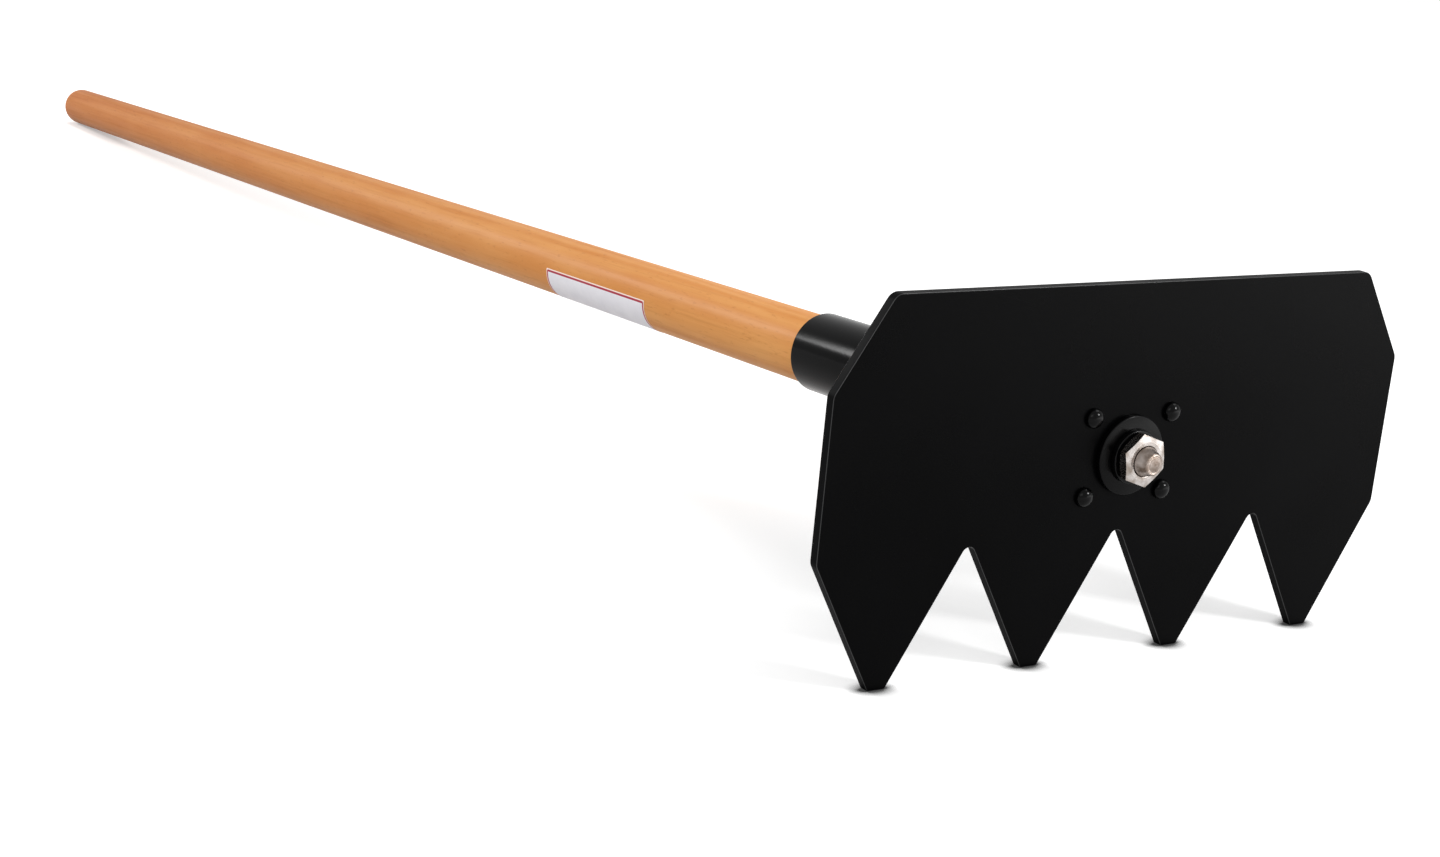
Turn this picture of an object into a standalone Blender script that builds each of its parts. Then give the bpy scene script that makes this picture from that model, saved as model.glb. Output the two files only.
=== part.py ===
# Fire rake: a toothed steel blade riveted to a socket, on a long wooden handle.
# Metres, +Z up. The tool lies as it does when it is put down: the tooth tips and the far end
# of the handle are on the ground, and the blade stands upright with its front to -Y.
import math

import bmesh
import bpy
from mathutils import Matrix

# Blade
blade_width = 0.330
blade_top_width = 0.276
blade_height = 0.175
blade_thickness = 0.005
blade_corner_drop = 0.042         # from the top edge down to the end of the sloping corner
blade_side_drop = 0.115           # from the top edge down to the end of the upright side
blade_corner_radius = 0.006
tooth_count = 4
tooth_pitch = 0.0845
tooth_length = 0.064              # from the tips up to the sharp apex of a notch
tooth_tip_width = 0.0092
tooth_tip_radius = 0.001
notch_radius = 0.0036
hub_drop = 0.0787                 # from the top edge down to the middle of the hub

# Edges of the blade and of the plate behind it
plate_edge_radius = 0.0004

# Gaps
seat_gap = 0.0003                 # between pieces that rest on each other
bore_clearance = 0.0005           # around a shank in its hole

# Plate behind the blade
flange_width = 0.062
flange_height = 0.0535
flange_thickness = 0.005
flange_corner_radius = 0.008

# Rivets
rivet_spacing_across = 0.0458
rivet_spacing_up = 0.0364
rivet_shank_radius = 0.003
rivet_head_radius = 0.0046
rivet_head_height = 0.0033
rivet_tail_radius = 0.0041
rivet_tail_height = 0.0026

# Coned disc, washer and nut in front of the blade
disc_radius = 0.0184
disc_rim_thickness = 0.0024
disc_thickness = 0.0030           # under the washer
disc_edge = 0.0004                # chamfer of the front edge
washer_radius = 0.0125
washer_thickness = 0.0025
washer_space = 0.0005             # between the washer and the foot of the cone
nut_across_flats = 0.022
nut_height = 0.0060
nut_chamfer_share = 0.818         # of the flats, where the corner chamfer starts
nut_front_chamfer = math.radians(15)
nut_back_chamfer = math.radians(26)
nut_turn = math.radians(-20)

# Stud
stud_radius = 0.0066
stud_reach = 0.0062               # in front of the nut
stud_plain_end = 0.0006           # full thread left in front of the nut, before the taper
stud_tip_radius = 0.0048
stud_tip_crown = 0.0008
stud_wood_radius = 0.005
stud_wood_length = 0.070
stud_point_length = 0.008

# Socket tube and its weld
ferrule_radius = 0.0212
ferrule_wall = 0.002
ferrule_reach = 0.234             # from the back of the blade to the mouth
ferrule_edge_radius = 0.0006
weld_leg = 0.003
weld_crown = 0.0004
weld_edge = 0.0006                # thickness of the bead where it ends on the tube

# Handle
handle_clearance = 0.0003         # between the wood and the bore of the tube
handle_reach = 1.511              # from the back of the blade to the far end
handle_end_radius = 0.0162
handle_end_crown = 0.013
handle_chamfer = 0.002

# Sticker
label_start = 0.3905              # from the back of the blade
label_length = 0.120
label_girth = 0.045
label_turn = math.radians(45)     # where its hidden edge lies, from +X round under the handle
label_thickness = 0.00025
label_gap = 0.00015

# Fineness of round shapes
round_steps = 48
small_steps = 24
crown_steps = 6
cutter_margin = 0.002             # how far a cutter runs past what it cuts

# What follows from the sizes above
hub_height = blade_height - hub_drop
ferrule_bore = ferrule_radius - ferrule_wall
handle_radius = ferrule_bore - handle_clearance
crown_reach = handle_reach - handle_end_crown
flange_front = blade_thickness + seat_gap
flange_back = flange_front + flange_thickness
socket_face = flange_back + seat_gap
disc_front = seat_gap + disc_thickness
washer_base = disc_front + seat_gap
nut_base = washer_base + washer_thickness + seat_gap
nut_top = nut_base + nut_height
stud_tip = nut_top + stud_reach
hub_bore_radius = stud_radius + bore_clearance
rivet_bore_radius = rivet_shank_radius + bore_clearance


# Angle by which the handle drops away from the blade so that its end rests on the ground.
def handle_fall():
    reach_term = crown_reach ** 2 - handle_end_crown ** 2 + handle_end_radius ** 2
    height_term = hub_height ** 2 - handle_end_radius ** 2
    root = math.sqrt((hub_height * crown_reach) ** 2 - reach_term * height_term)
    return math.asin((hub_height * crown_reach - root) / reach_term)


fall = handle_fall()


# Y of the blade's front, which puts the middle of the tool's length at the origin.
def blade_front():
    end_bulge = math.hypot(handle_end_crown * math.cos(fall), handle_end_radius * math.sin(fall))
    rear = blade_thickness + crown_reach * math.cos(fall) + end_bulge
    return (stud_tip - rear) / 2


# Scene helpers
def clear_scene():
    for old in list(bpy.data.objects):
        bpy.data.objects.remove(old, do_unlink=True)


def new_collection(name):
    group = bpy.data.collections.new(name)
    bpy.context.scene.collection.children.link(group)
    return group


def finish(name, color, roughness, metallic=0.0):
    material = bpy.data.materials.new(name)
    material.use_nodes = True
    shader = material.node_tree.nodes["Principled BSDF"]
    shader.inputs["Base Color"].default_value = (*color, 1.0)
    shader.inputs["Roughness"].default_value = roughness
    shader.inputs["Metallic"].default_value = metallic
    return material


def place(thing, group, parent, material=None):
    group.objects.link(thing)
    thing.parent = parent
    if material:
        thing.data.materials.append(material)
    return thing


def as_cutter(thing):
    thing.display_type = "WIRE"
    thing.hide_render = True
    return thing


def cut(thing, cutter, operation="DIFFERENCE"):
    boolean = thing.modifiers.new(cutter.name, "BOOLEAN")
    boolean.operation = operation
    boolean.solver = "EXACT"
    boolean.object = cutter


# Shape helpers
# A turned body: the profile of (radius, height) points runs down its outer side.
def turned(name, profile, steps=round_steps, closed=False):
    edges = [(index, index + 1) for index in range(len(profile) - 1)]
    if closed:
        edges.append((len(profile) - 1, 0))
    mesh = bpy.data.meshes.new(name)
    mesh.from_pydata([(radius, 0.0, height) for radius, height in profile], edges, [])
    thing = bpy.data.objects.new(name, mesh)
    screw = thing.modifiers.new("turn", "SCREW")
    screw.steps = steps
    screw.render_steps = steps
    screw.use_merge_vertices = True
    screw.merge_threshold = 0.00001
    screw.use_smooth_shade = True
    return thing


# Points of a quarter ellipse from its top, on the axis, down to its rim.
def crown(radius, base, height, steps=crown_steps):
    angles = [math.pi / 2 * step / steps for step in range(steps + 1)]
    return [(radius * math.sin(angle), base + height * math.cos(angle)) for angle in angles]


def cylinder(name, radius, bottom, top, steps=small_steps):
    return turned(name, [(0, top), (radius, top), (radius, bottom), (0, bottom)], steps)


# Outline through (x, y, radius) corners, each replaced by an arc of its radius.
def rounded(corners, steps=5):
    points = []
    for index, (x, y, radius) in enumerate(corners):
        ends = []
        for other in (corners[index - 1], corners[(index + 1) % len(corners)]):
            length = math.hypot(other[0] - x, other[1] - y)
            ends.append(((other[0] - x) / length, (other[1] - y) / length))
        (ax, ay), (bx, by) = ends
        half = math.acos(max(-1.0, min(1.0, ax * bx + ay * by))) / 2
        middle = math.hypot(ax + bx, ay + by)
        cx = x + (ax + bx) / middle * radius / math.sin(half)
        cy = y + (ay + by) / middle * radius / math.sin(half)
        first = math.atan2(y + ay * radius / math.tan(half) - cy, x + ax * radius / math.tan(half) - cx)
        last = math.atan2(y + by * radius / math.tan(half) - cy, x + bx * radius / math.tan(half) - cx)
        sweep = (last - first + math.pi) % (2 * math.pi) - math.pi
        for step in range(steps + 1):
            angle = first + sweep * step / steps
            points.append((cx + radius * math.cos(angle), cy + radius * math.sin(angle)))
    return points


# Points round a hole, the other way round from an outline that runs clockwise.
def hole_outline(x, y, radius, steps):
    angles = [2 * math.pi * step / steps for step in range(steps)]
    return [(x + radius * math.cos(angle), y + radius * math.sin(angle)) for angle in angles]


# A flat plate cut to the outline, with holes and rounded edges, whose back face is at the given
# height. The outline runs clockwise.
def plate(name, outline, holes, thickness, back):
    curve = bpy.data.curves.new(name, "CURVE")
    curve.dimensions = "2D"
    curve.fill_mode = "BOTH"
    curve.extrude = thickness / 2 - plate_edge_radius
    curve.bevel_depth = plate_edge_radius
    curve.bevel_resolution = 1
    curve.offset = -plate_edge_radius
    for points in [outline] + holes:
        spline = curve.splines.new("POLY")
        spline.points.add(len(points) - 1)
        for point, (x, y) in zip(spline.points, points):
            point.co = (x, y, 0.0, 1.0)
        spline.use_cyclic_u = True
    guide = bpy.data.objects.new(name + "_outline", curve)
    bpy.context.scene.collection.objects.link(guide)
    graph = bpy.context.evaluated_depsgraph_get()
    mesh = bpy.data.meshes.new_from_object(guide.evaluated_get(graph))
    bpy.data.objects.remove(guide, do_unlink=True)
    mesh.name = name

    form = bmesh.new()
    form.from_mesh(mesh)
    bmesh.ops.remove_doubles(form, verts=form.verts, dist=0.00001)
    bmesh.ops.translate(form, verts=form.verts, vec=(0, 0, back + thickness / 2))
    bmesh.ops.recalc_face_normals(form, faces=form.faces)
    form.to_mesh(mesh)
    form.free()
    return bpy.data.objects.new(name, mesh)


# The pieces in front of and behind the blade are in the hub's frame: its Z points to the
# front, its Y up, and its origin is the middle of the hub on the blade's front face.
def blade_outline():
    half, top = blade_width / 2, hub_drop
    tips = top - blade_height
    right = [
        (blade_top_width / 2, top, blade_corner_radius),
        (half, top - blade_corner_drop, blade_corner_radius),
        (half, top - blade_side_drop, blade_corner_radius),
    ]
    teeth = []
    for tooth in range(tooth_count):
        middle = ((tooth_count - 1) / 2 - tooth) * tooth_pitch
        teeth.append((middle + tooth_tip_width / 2, tips, tooth_tip_radius))
        teeth.append((middle - tooth_tip_width / 2, tips, tooth_tip_radius))
        if tooth < tooth_count - 1:
            teeth.append((middle - tooth_pitch / 2, tips + tooth_length, notch_radius))
    left = [(-x, y, radius) for x, y, radius in reversed(right)]
    return rounded(right + teeth + left)


def rivet_places():
    for rise, height in (("upper", 0.5), ("lower", -0.5)):
        for side, across in (("left", -0.5), ("right", 0.5)):
            yield rise + "_" + side, across * rivet_spacing_across, height * rivet_spacing_up


# The stud's hole and the four rivet holes, through blade and flange.
def hole_outlines():
    holes = [hole_outline(0, 0, hub_bore_radius, round_steps)]
    for _, x, y in rivet_places():
        holes.append(hole_outline(x, y, rivet_bore_radius, small_steps))
    return holes


def make_blade(parts, hub, material):
    blade = plate("blade", blade_outline(), hole_outlines(), blade_thickness, -blade_thickness)
    place(blade, parts, hub, material)


def make_flange(parts, hub, material):
    half_width, half_height = flange_width / 2, flange_height / 2
    signs = [(1, 1), (1, -1), (-1, -1), (-1, 1)]
    corners = [(sx * half_width, sy * half_height, flange_corner_radius) for sx, sy in signs]
    outline = rounded(corners)
    flange = plate("socket_flange", outline, hole_outlines(), flange_thickness, -flange_back)
    place(flange, parts, hub, material)


# Domed heads in front, shanks through both plates and lower domes behind.
def make_rivets(parts, hub, material):
    back = -(flange_back + seat_gap)
    head = crown(rivet_head_radius, seat_gap, rivet_head_height)
    tail = crown(rivet_tail_radius, back, -rivet_tail_height)[::-1]
    profile = head + [(rivet_shank_radius, seat_gap), (rivet_shank_radius, back)] + tail
    for place_name, x, y in rivet_places():
        rivet = turned("rivet_" + place_name, profile, small_steps)
        rivet.location = (x, y, 0)
        place(rivet, parts, hub, material)


# Disc whose front rises slightly from its rim to the flat that the washer lies on.
def make_disc(parts, hub, material):
    rim = seat_gap + disc_rim_thickness
    foot = washer_radius + washer_space
    profile = [
        (foot, disc_front),
        (disc_radius - disc_edge, rim),
        (disc_radius, rim - disc_edge),
        (disc_radius, seat_gap),
        (hub_bore_radius, seat_gap),
        (hub_bore_radius, disc_front),
    ]
    place(turned("hub_disc", profile, closed=True), parts, hub, material)


def make_washer(parts, hub, material):
    top = washer_base + washer_thickness
    profile = [
        (washer_radius, top),
        (washer_radius, washer_base),
        (hub_bore_radius, washer_base),
        (hub_bore_radius, top),
    ]
    place(turned("washer", profile, closed=True), parts, hub, material)


# Hexagon with its corners turned off at both faces.
def make_nut(parts, cutters, hub, material):
    corner_radius = nut_across_flats / math.sqrt(3)
    form = bmesh.new()
    bmesh.ops.create_cone(form, cap_ends=True, segments=6, depth=nut_height,
                          radius1=corner_radius, radius2=corner_radius)
    bmesh.ops.rotate(form, verts=form.verts, matrix=Matrix.Rotation(nut_turn, 3, "Z"))
    bmesh.ops.translate(form, verts=form.verts, vec=(0, 0, nut_base + nut_height / 2))
    mesh = bpy.data.meshes.new("nut")
    form.to_mesh(mesh)
    form.free()
    nut = place(bpy.data.objects.new("nut", mesh), parts, hub, material)

    flat_radius = nut_across_flats / 2 * nut_chamfer_share
    outer = corner_radius + cutter_margin
    front_edge = nut_top - (outer - flat_radius) * math.tan(nut_front_chamfer)
    back_edge = nut_base + (outer - flat_radius) * math.tan(nut_back_chamfer)
    cone = turned("nut_chamfers", [(0, nut_top), (flat_radius, nut_top), (outer, front_edge),
                                   (outer, back_edge), (flat_radius, nut_base), (0, nut_base)])
    below, above = nut_base - cutter_margin, nut_top + cutter_margin
    bore = cylinder("nut_bore", hub_bore_radius, below, above, round_steps)
    cut(nut, as_cutter(place(cone, cutters, hub)), "INTERSECT")
    cut(nut, as_cutter(place(bore, cutters, hub)))


# Outer side of the stud's wood end, from the flange's back to its point.
def wood_thread(extra=0.0):
    shoulder = -flange_back
    point = shoulder - stud_wood_length
    radius = stud_wood_radius + extra
    return [(radius, shoulder), (radius, point + stud_point_length), (0, point - extra)]


def make_stud(parts, hub, material):
    taper_start = nut_top + stud_plain_end
    profile = crown(stud_tip_radius, stud_tip - stud_tip_crown, stud_tip_crown)
    profile += [(stud_radius, taper_start), (stud_radius, -flange_back)] + wood_thread()
    place(turned("stud", profile, small_steps), parts, hub, material)


# The socket and the handle are in the handle's frame: its Z points along the handle, and its
# origin is the middle of the hub on the blade's back face.
# Block in front of the flange's back, which cuts the tube off flat against it.
def make_socket_face(cutters, hub):
    block_depth = flange_back + 2 * ferrule_radius
    form = bmesh.new()
    bmesh.ops.create_cube(form, size=1.0)
    bmesh.ops.scale(form, verts=form.verts, vec=(4 * ferrule_radius, 4 * ferrule_radius, block_depth))
    bmesh.ops.translate(form, verts=form.verts, vec=(0, 0, block_depth / 2 - socket_face))
    mesh = bpy.data.meshes.new("socket_face")
    form.to_mesh(mesh)
    form.free()
    return as_cutter(place(bpy.data.objects.new("socket_face", mesh), cutters, hub))


def make_ferrule(parts, axis, face, material):
    edge = ferrule_edge_radius
    mouth = [(ferrule_radius - edge + radius, height)
             for radius, height in crown(edge, ferrule_reach - edge, edge, 3)]
    profile = mouth + [(ferrule_radius, 0), (ferrule_bore, 0), (ferrule_bore, ferrule_reach)]
    ferrule = place(turned("ferrule", profile, closed=True), parts, axis, material)
    cut(ferrule, face)


# Fillet weld round the foot of the tube, slightly crowned. It lies flat on the flange, and the
# cutter clears the sloping tube.
def make_weld(parts, cutters, hub, axis, material):
    clear_radius = ferrule_radius + seat_gap
    outer = clear_radius + weld_leg
    foot, top = -socket_face, -(socket_face + weld_leg)
    middle = weld_leg / 2 + weld_crown
    profile = [
        (outer, foot),
        (clear_radius + middle, foot - middle),
        (clear_radius + weld_edge, top),
        (clear_radius - cutter_margin, top),
        (clear_radius - cutter_margin, foot),
    ]
    weld = place(turned("weld_bead", profile, closed=True), parts, hub, material)
    tube = cylinder("weld_bore", clear_radius, -cutter_margin, ferrule_reach, round_steps)
    cut(weld, as_cutter(place(tube, cutters, axis)))


# Radius of the wood outside the tube, at a distance from the back of the blade.
def handle_surface(distance):
    share = (distance - ferrule_reach) / (crown_reach - ferrule_reach)
    return handle_radius + (handle_end_radius - handle_radius) * share


def make_handle(parts, cutters, axis, hub, material):
    foot = (socket_face - blade_thickness) / math.cos(fall) + handle_radius * math.tan(fall)
    profile = crown(handle_end_radius, crown_reach, handle_end_crown)
    profile += [
        (handle_radius, ferrule_reach),
        (handle_radius, foot + handle_chamfer),
        (handle_radius - handle_chamfer, foot),
        (0, foot),
    ]
    handle = place(turned("handle", profile), parts, axis, material)
    mouth = [(0, 0), (stud_wood_radius + seat_gap, 0)]
    pilot = turned("pilot_bore", mouth + wood_thread(seat_gap), small_steps)
    cut(handle, as_cutter(place(pilot, cutters, hub)))


# Thin sheet wrapped round the front and underside of the handle.
def make_label(parts, axis, material):
    near, far = label_start, label_start + label_length
    profile = [(handle_surface(far) + label_gap, far), (handle_surface(near) + label_gap, near)]
    label = turned("handle_label", profile)
    wrap = label.modifiers["turn"]
    wrap.angle = label_girth / handle_surface((near + far) / 2)
    wrap.steps = 20
    wrap.render_steps = 20
    sheet = label.modifiers.new("sheet", "SOLIDIFY")
    sheet.thickness = label_thickness
    sheet.offset = 1.0
    label.rotation_euler.z = label_turn
    place(label, parts, axis, material)


def main():
    clear_scene()
    parts = new_collection("fire_rake")
    cutters = new_collection("cutters")

    black_steel = finish("black_steel", (0.012, 0.012, 0.013), 0.45)
    black_tube = finish("black_tube", (0.012, 0.012, 0.013), 0.35)
    black_disc = finish("black_disc", (0.012, 0.012, 0.013), 0.4)
    bright_steel = finish("bright_steel", (0.60, 0.57, 0.54), 0.28, 1.0)
    wood = finish("wood", (0.55, 0.27, 0.10), 0.45)
    sticker = finish("sticker", (0.85, 0.86, 0.90), 0.35)

    hub = bpy.data.objects.new("hub_frame", None)
    hub.location = (0, blade_front(), hub_height)
    hub.rotation_euler.x = math.pi / 2
    parts.objects.link(hub)
    axis = bpy.data.objects.new("handle_frame", None)
    axis.location = (0, blade_front() + blade_thickness, hub_height)
    axis.rotation_euler.x = -(math.pi / 2 + fall)
    parts.objects.link(axis)

    make_blade(parts, hub, black_steel)
    make_flange(parts, hub, black_steel)
    make_rivets(parts, hub, black_steel)
    make_disc(parts, hub, black_disc)
    make_washer(parts, hub, black_disc)
    make_nut(parts, cutters, hub, bright_steel)
    make_stud(parts, hub, bright_steel)

    face = make_socket_face(cutters, hub)
    make_ferrule(parts, axis, face, black_tube)
    make_weld(parts, cutters, hub, axis, black_tube)
    make_handle(parts, cutters, axis, hub, wood)
    make_label(parts, axis, sticker)
    bpy.context.view_layer.update()


main()
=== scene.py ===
import math

import bmesh
import bpy
from mathutils import Matrix, Vector


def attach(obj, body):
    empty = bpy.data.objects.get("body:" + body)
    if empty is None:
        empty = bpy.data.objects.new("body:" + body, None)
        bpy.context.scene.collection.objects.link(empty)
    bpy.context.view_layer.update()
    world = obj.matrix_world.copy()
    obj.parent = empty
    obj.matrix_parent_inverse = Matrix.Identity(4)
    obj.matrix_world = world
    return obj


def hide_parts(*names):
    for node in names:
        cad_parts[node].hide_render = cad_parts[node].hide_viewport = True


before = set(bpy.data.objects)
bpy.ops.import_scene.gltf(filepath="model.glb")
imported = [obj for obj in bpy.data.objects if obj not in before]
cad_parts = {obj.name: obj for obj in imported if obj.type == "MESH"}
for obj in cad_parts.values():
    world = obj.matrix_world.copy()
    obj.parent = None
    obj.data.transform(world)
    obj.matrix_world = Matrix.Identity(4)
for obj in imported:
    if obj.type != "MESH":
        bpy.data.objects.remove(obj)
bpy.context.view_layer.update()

# Metres, +Z up. The blade stands on its teeth with its front to -Y, and the handle runs to +Y.
tool = {
    "bladeFront": -0.7476334,       # Y of the front of the blade
    "bladeThickness": 0.005,
    "hubHeight": 0.0963,
    "handleFall": 3.06546,          # degrees that the handle drops towards its end
    "gap": 0.0003,                  # between pieces that rest on each other
}
bladeBack = tool["bladeFront"] + tool["bladeThickness"]
# Hub place: Z points out of the blade's front, Y up. Handle place: Z runs along the handle.
hubPlace = Matrix.Translation((0, tool["bladeFront"], tool["hubHeight"]))
hubPlace @= Matrix.Rotation(math.radians(90), 4, "X")
handlePlace = Matrix.Translation((0, bladeBack, tool["hubHeight"]))
handlePlace @= Matrix.Rotation(math.radians(-90 - tool["handleFall"]), 4, "X")

# How finely round shapes are made
fine = {
    "corner": 8, "edge": 6, "thinEdge": 4,          # steps round a corner or edge
    "wide": 128, "middle": 96, "small": 48, "hole": 32,     # points round a circle
}


# Shapes

# Corners are (x, y, radius). Each one with a radius becomes an arc.
def roundCorners(corners, steps=fine["corner"]):
    points = []
    for index, (x, y, radius) in enumerate(corners):
        if radius == 0:
            points.append((x, y))
            continue
        corner = Vector((x, y))
        toLast = (Vector(corners[index - 1][:2]) - corner).normalized()
        toNext = (Vector(corners[(index + 1) % len(corners)][:2]) - corner).normalized()
        half = toLast.angle(toNext) / 2
        centre = corner + (toLast + toNext).normalized() * radius / math.sin(half)
        start = corner + toLast * radius / math.tan(half) - centre
        end = corner + toNext * radius / math.tan(half) - centre
        sweep = math.atan2(start.x * end.y - start.y * end.x, start.dot(end))
        for step in range(steps + 1):
            turn = Matrix.Rotation(sweep * step / steps, 2)
            points.append(tuple(centre + turn @ start))
    return points


def circlePoints(x, y, radius, steps):
    angles = [2 * math.pi * step / steps for step in range(steps)]
    return [(x + radius * math.cos(angle), y + radius * math.sin(angle)) for angle in angles]


def circleRing(radius, height, steps):
    return [(x, y, height) for x, y in circlePoints(0, 0, radius, steps)]


def shadeSmooth(mesh, sharpAngle):
    for face in mesh.polygons:
        face.use_smooth = True
    mesh.set_sharp_from_angle(angle=math.radians(sharpAngle))


# Joins rings of points into a skin. A ring of one point is a pole.
def skinMesh(name, rings, closed=False, sharpAngle=32):
    form = bmesh.new()
    loops = [[form.verts.new(point) for point in ring] for ring in rings]
    steps = max(len(loop) for loop in loops)
    pairs = list(zip(loops, loops[1:]))
    if closed:
        pairs.append((loops[-1], loops[0]))
    for upper, lower in pairs:
        for step in range(steps):
            after = (step + 1) % steps
            corners = [upper[step % len(upper)], lower[step % len(lower)],
                       lower[after % len(lower)], upper[after % len(upper)]]
            form.faces.new(list(dict.fromkeys(corners)))
    bmesh.ops.recalc_face_normals(form, faces=form.faces)
    mesh = bpy.data.meshes.new(name)
    form.to_mesh(mesh)
    form.free()
    shadeSmooth(mesh, sharpAngle)
    return mesh


# Turns a profile of (radius, height) points about Z. A radius of nearly nothing is a pole.
def turnMesh(name, profile, steps, closed=False, sharpAngle=32, poleRadius=1e-6):
    rings = []
    for radius, height in profile:
        rings.append([(0, 0, height)] if radius < poleRadius else circleRing(radius, height, steps))
    return skinMesh(name, rings, closed, sharpAngle)


plate = {
    "edgeSteps": 3, "mergeWithin": 0.00001, "sharpAngle": 50, "flatsFirst": 80,
    "cutBelow": 0.2, "roundedBelow": 0.97,          # of a face's normal out of the plate's plane
}


# A plate with holes and rounded edges, made as a filled curve. The outline runs clockwise.
# Its faces take finish 0 on the flats, 1 on the cut edge and 2 on the rounded edges.
# Finish 2 is a lighter, glossier copy of the coat: a painted highlight along the rounded edges.
def plateMesh(name, outline, holes, thickness, edgeRadius, back):
    curve = bpy.data.curves.new(name, "CURVE")
    curve.dimensions = "2D"
    curve.fill_mode = "BOTH"
    curve.extrude = thickness / 2 - edgeRadius
    curve.bevel_depth = edgeRadius
    curve.bevel_resolution = plate["edgeSteps"]
    curve.offset = -edgeRadius
    for points in [outline] + holes:
        spline = curve.splines.new("POLY")
        spline.points.add(len(points) - 1)
        for point, (x, y) in zip(spline.points, points):
            point.co = (x, y, 0, 1)
        spline.use_cyclic_u = True
    guide = bpy.data.objects.new(name + "Guide", curve)
    bpy.context.scene.collection.objects.link(guide)
    shaped = guide.evaluated_get(bpy.context.evaluated_depsgraph_get())
    mesh = bpy.data.meshes.new_from_object(shaped)
    bpy.data.objects.remove(guide, do_unlink=True)
    mesh.name = name
    form = bmesh.new()
    form.from_mesh(mesh)
    bmesh.ops.remove_doubles(form, verts=form.verts, dist=plate["mergeWithin"])
    bmesh.ops.translate(form, verts=form.verts, vec=(0, 0, back + thickness / 2))
    bmesh.ops.recalc_face_normals(form, faces=form.faces)
    for face in form.faces:
        level = abs(face.normal.z)
        if level < plate["cutBelow"]:
            face.material_index = 1
        elif level < plate["roundedBelow"]:
            face.material_index = 2
        else:
            face.material_index = 0
    form.to_mesh(mesh)
    form.free()
    shadeSmooth(mesh, plate["sharpAngle"])
    return mesh


# Puts a piece in its place, on the tool's one body, in place of its node.
def addPiece(name, mesh, place, finishes, node):
    piece = bpy.data.objects.new(name, mesh)
    bpy.context.scene.collection.objects.link(piece)
    mesh.transform(place)
    for finish in finishes:
        mesh.materials.append(finish)
    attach(piece, "root")
    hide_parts(node)
    return piece


def keepFlats(piece):
    flats = piece.modifiers.new("flatFaces", "WEIGHTED_NORMAL")
    flats.keep_sharp = True
    flats.weight = plate["flatsFirst"]


# Finishes

def newFinish(name):
    finish = bpy.data.materials.new(name)
    finish.use_nodes = True
    return finish, finish.node_tree, finish.node_tree.nodes["Principled BSDF"]


# Adds a node; an input takes a value or another node's output.
def addNode(tree, kind, inputs=None, **settings):
    node = tree.nodes.new("ShaderNode" + kind)
    for key, value in settings.items():
        setattr(node, key, value)
    for key, value in (inputs or {}).items():
        if isinstance(value, bpy.types.NodeSocket):
            tree.links.new(value, node.inputs[key])
        else:
            node.inputs[key].default_value = value
    return node


# Coordinates in the frame that a piece was shaped in.
def ownPlace(tree, place):
    world = addNode(tree, "TexCoord").outputs["Object"]
    inputs = {"Vector": world, "Location": place.to_translation(), "Rotation": place.to_euler()}
    return addNode(tree, "Mapping", inputs, vector_type="TEXTURE").outputs["Vector"]


def addMath(tree, operation, first, second=0.0):
    return addNode(tree, "Math", {0: first, 1: second}, operation=operation).outputs[0]


# The first value plus a share of the second.
def addShare(tree, first, second, share):
    return addMath(tree, "ADD", first, addMath(tree, "MULTIPLY", second, share))


def mixColours(tree, share, first, second, blend="MIX"):
    pair = {}
    for key, colour in ((6, first), (7, second)):
        pair[key] = colour if isinstance(colour, bpy.types.NodeSocket) else (*colour, 1)
    mix = addNode(tree, "Mix", {0: share, **pair}, data_type="RGBA", blend_type=blend)
    return mix.outputs[2]


def spread(tree, value, low, high, newLow=0.0, newHigh=1.0):
    inputs = {"Value": value, "From Min": low, "From Max": high,
              "To Min": newLow, "To Max": newHigh}
    return addNode(tree, "MapRange", inputs).outputs["Result"]


def addNoise(tree, vector, scale, detail=2.0, roughness=0.5):
    inputs = {"Vector": vector, "Scale": scale, "Detail": detail, "Roughness": roughness}
    return addNode(tree, "TexNoise", inputs).outputs["Fac"]


def stretched(tree, vector, scale):
    return addNode(tree, "Mapping", {"Vector": vector, "Scale": scale}).outputs["Vector"]


def addBump(tree, shader, height, depth):
    bump = addNode(tree, "Bump", {"Height": height, "Distance": depth, "Strength": 1.0})
    tree.links.new(bump.outputs["Normal"], shader.inputs["Normal"])


middleRange = (0.3, 0.7)            # where most of a noise's values lie
powder = {"cloudScale": 14, "toneRise": 1.5, "cutStretch": 0.04}


# Black powder coat with the soft ripple that it sets with.
def powderCoat(name, look):
    finish, tree, shader = newFinish(name)
    place = ownPlace(tree, hubPlace)
    cloud = addNoise(tree, place, powder["cloudScale"], 3)
    height = addNoise(tree, place, 1 / look["peelSize"], 2, 0.6)
    if look.get("cutSize"):                         # cutting lines that show through the coat
        along = stretched(tree, place, (1, 1, powder["cutStretch"]))
        lines = addNoise(tree, along, 1 / look["cutSize"], 3, 0.7)
        height = addShare(tree, height, lines, look["cutShare"])
    shader.inputs["Specular IOR Level"].default_value = look["specular"]
    paler = [part * powder["toneRise"] for part in look["colour"]]
    colour = mixColours(tree, spread(tree, cloud, *middleRange), look["colour"], paler)
    tree.links.new(colour, shader.inputs["Base Color"])
    rough = spread(tree, cloud, *middleRange, *look["roughness"])
    tree.links.new(rough, shader.inputs["Roughness"])
    addBump(tree, shader, height, look["peelDepth"])
    return finish


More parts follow.
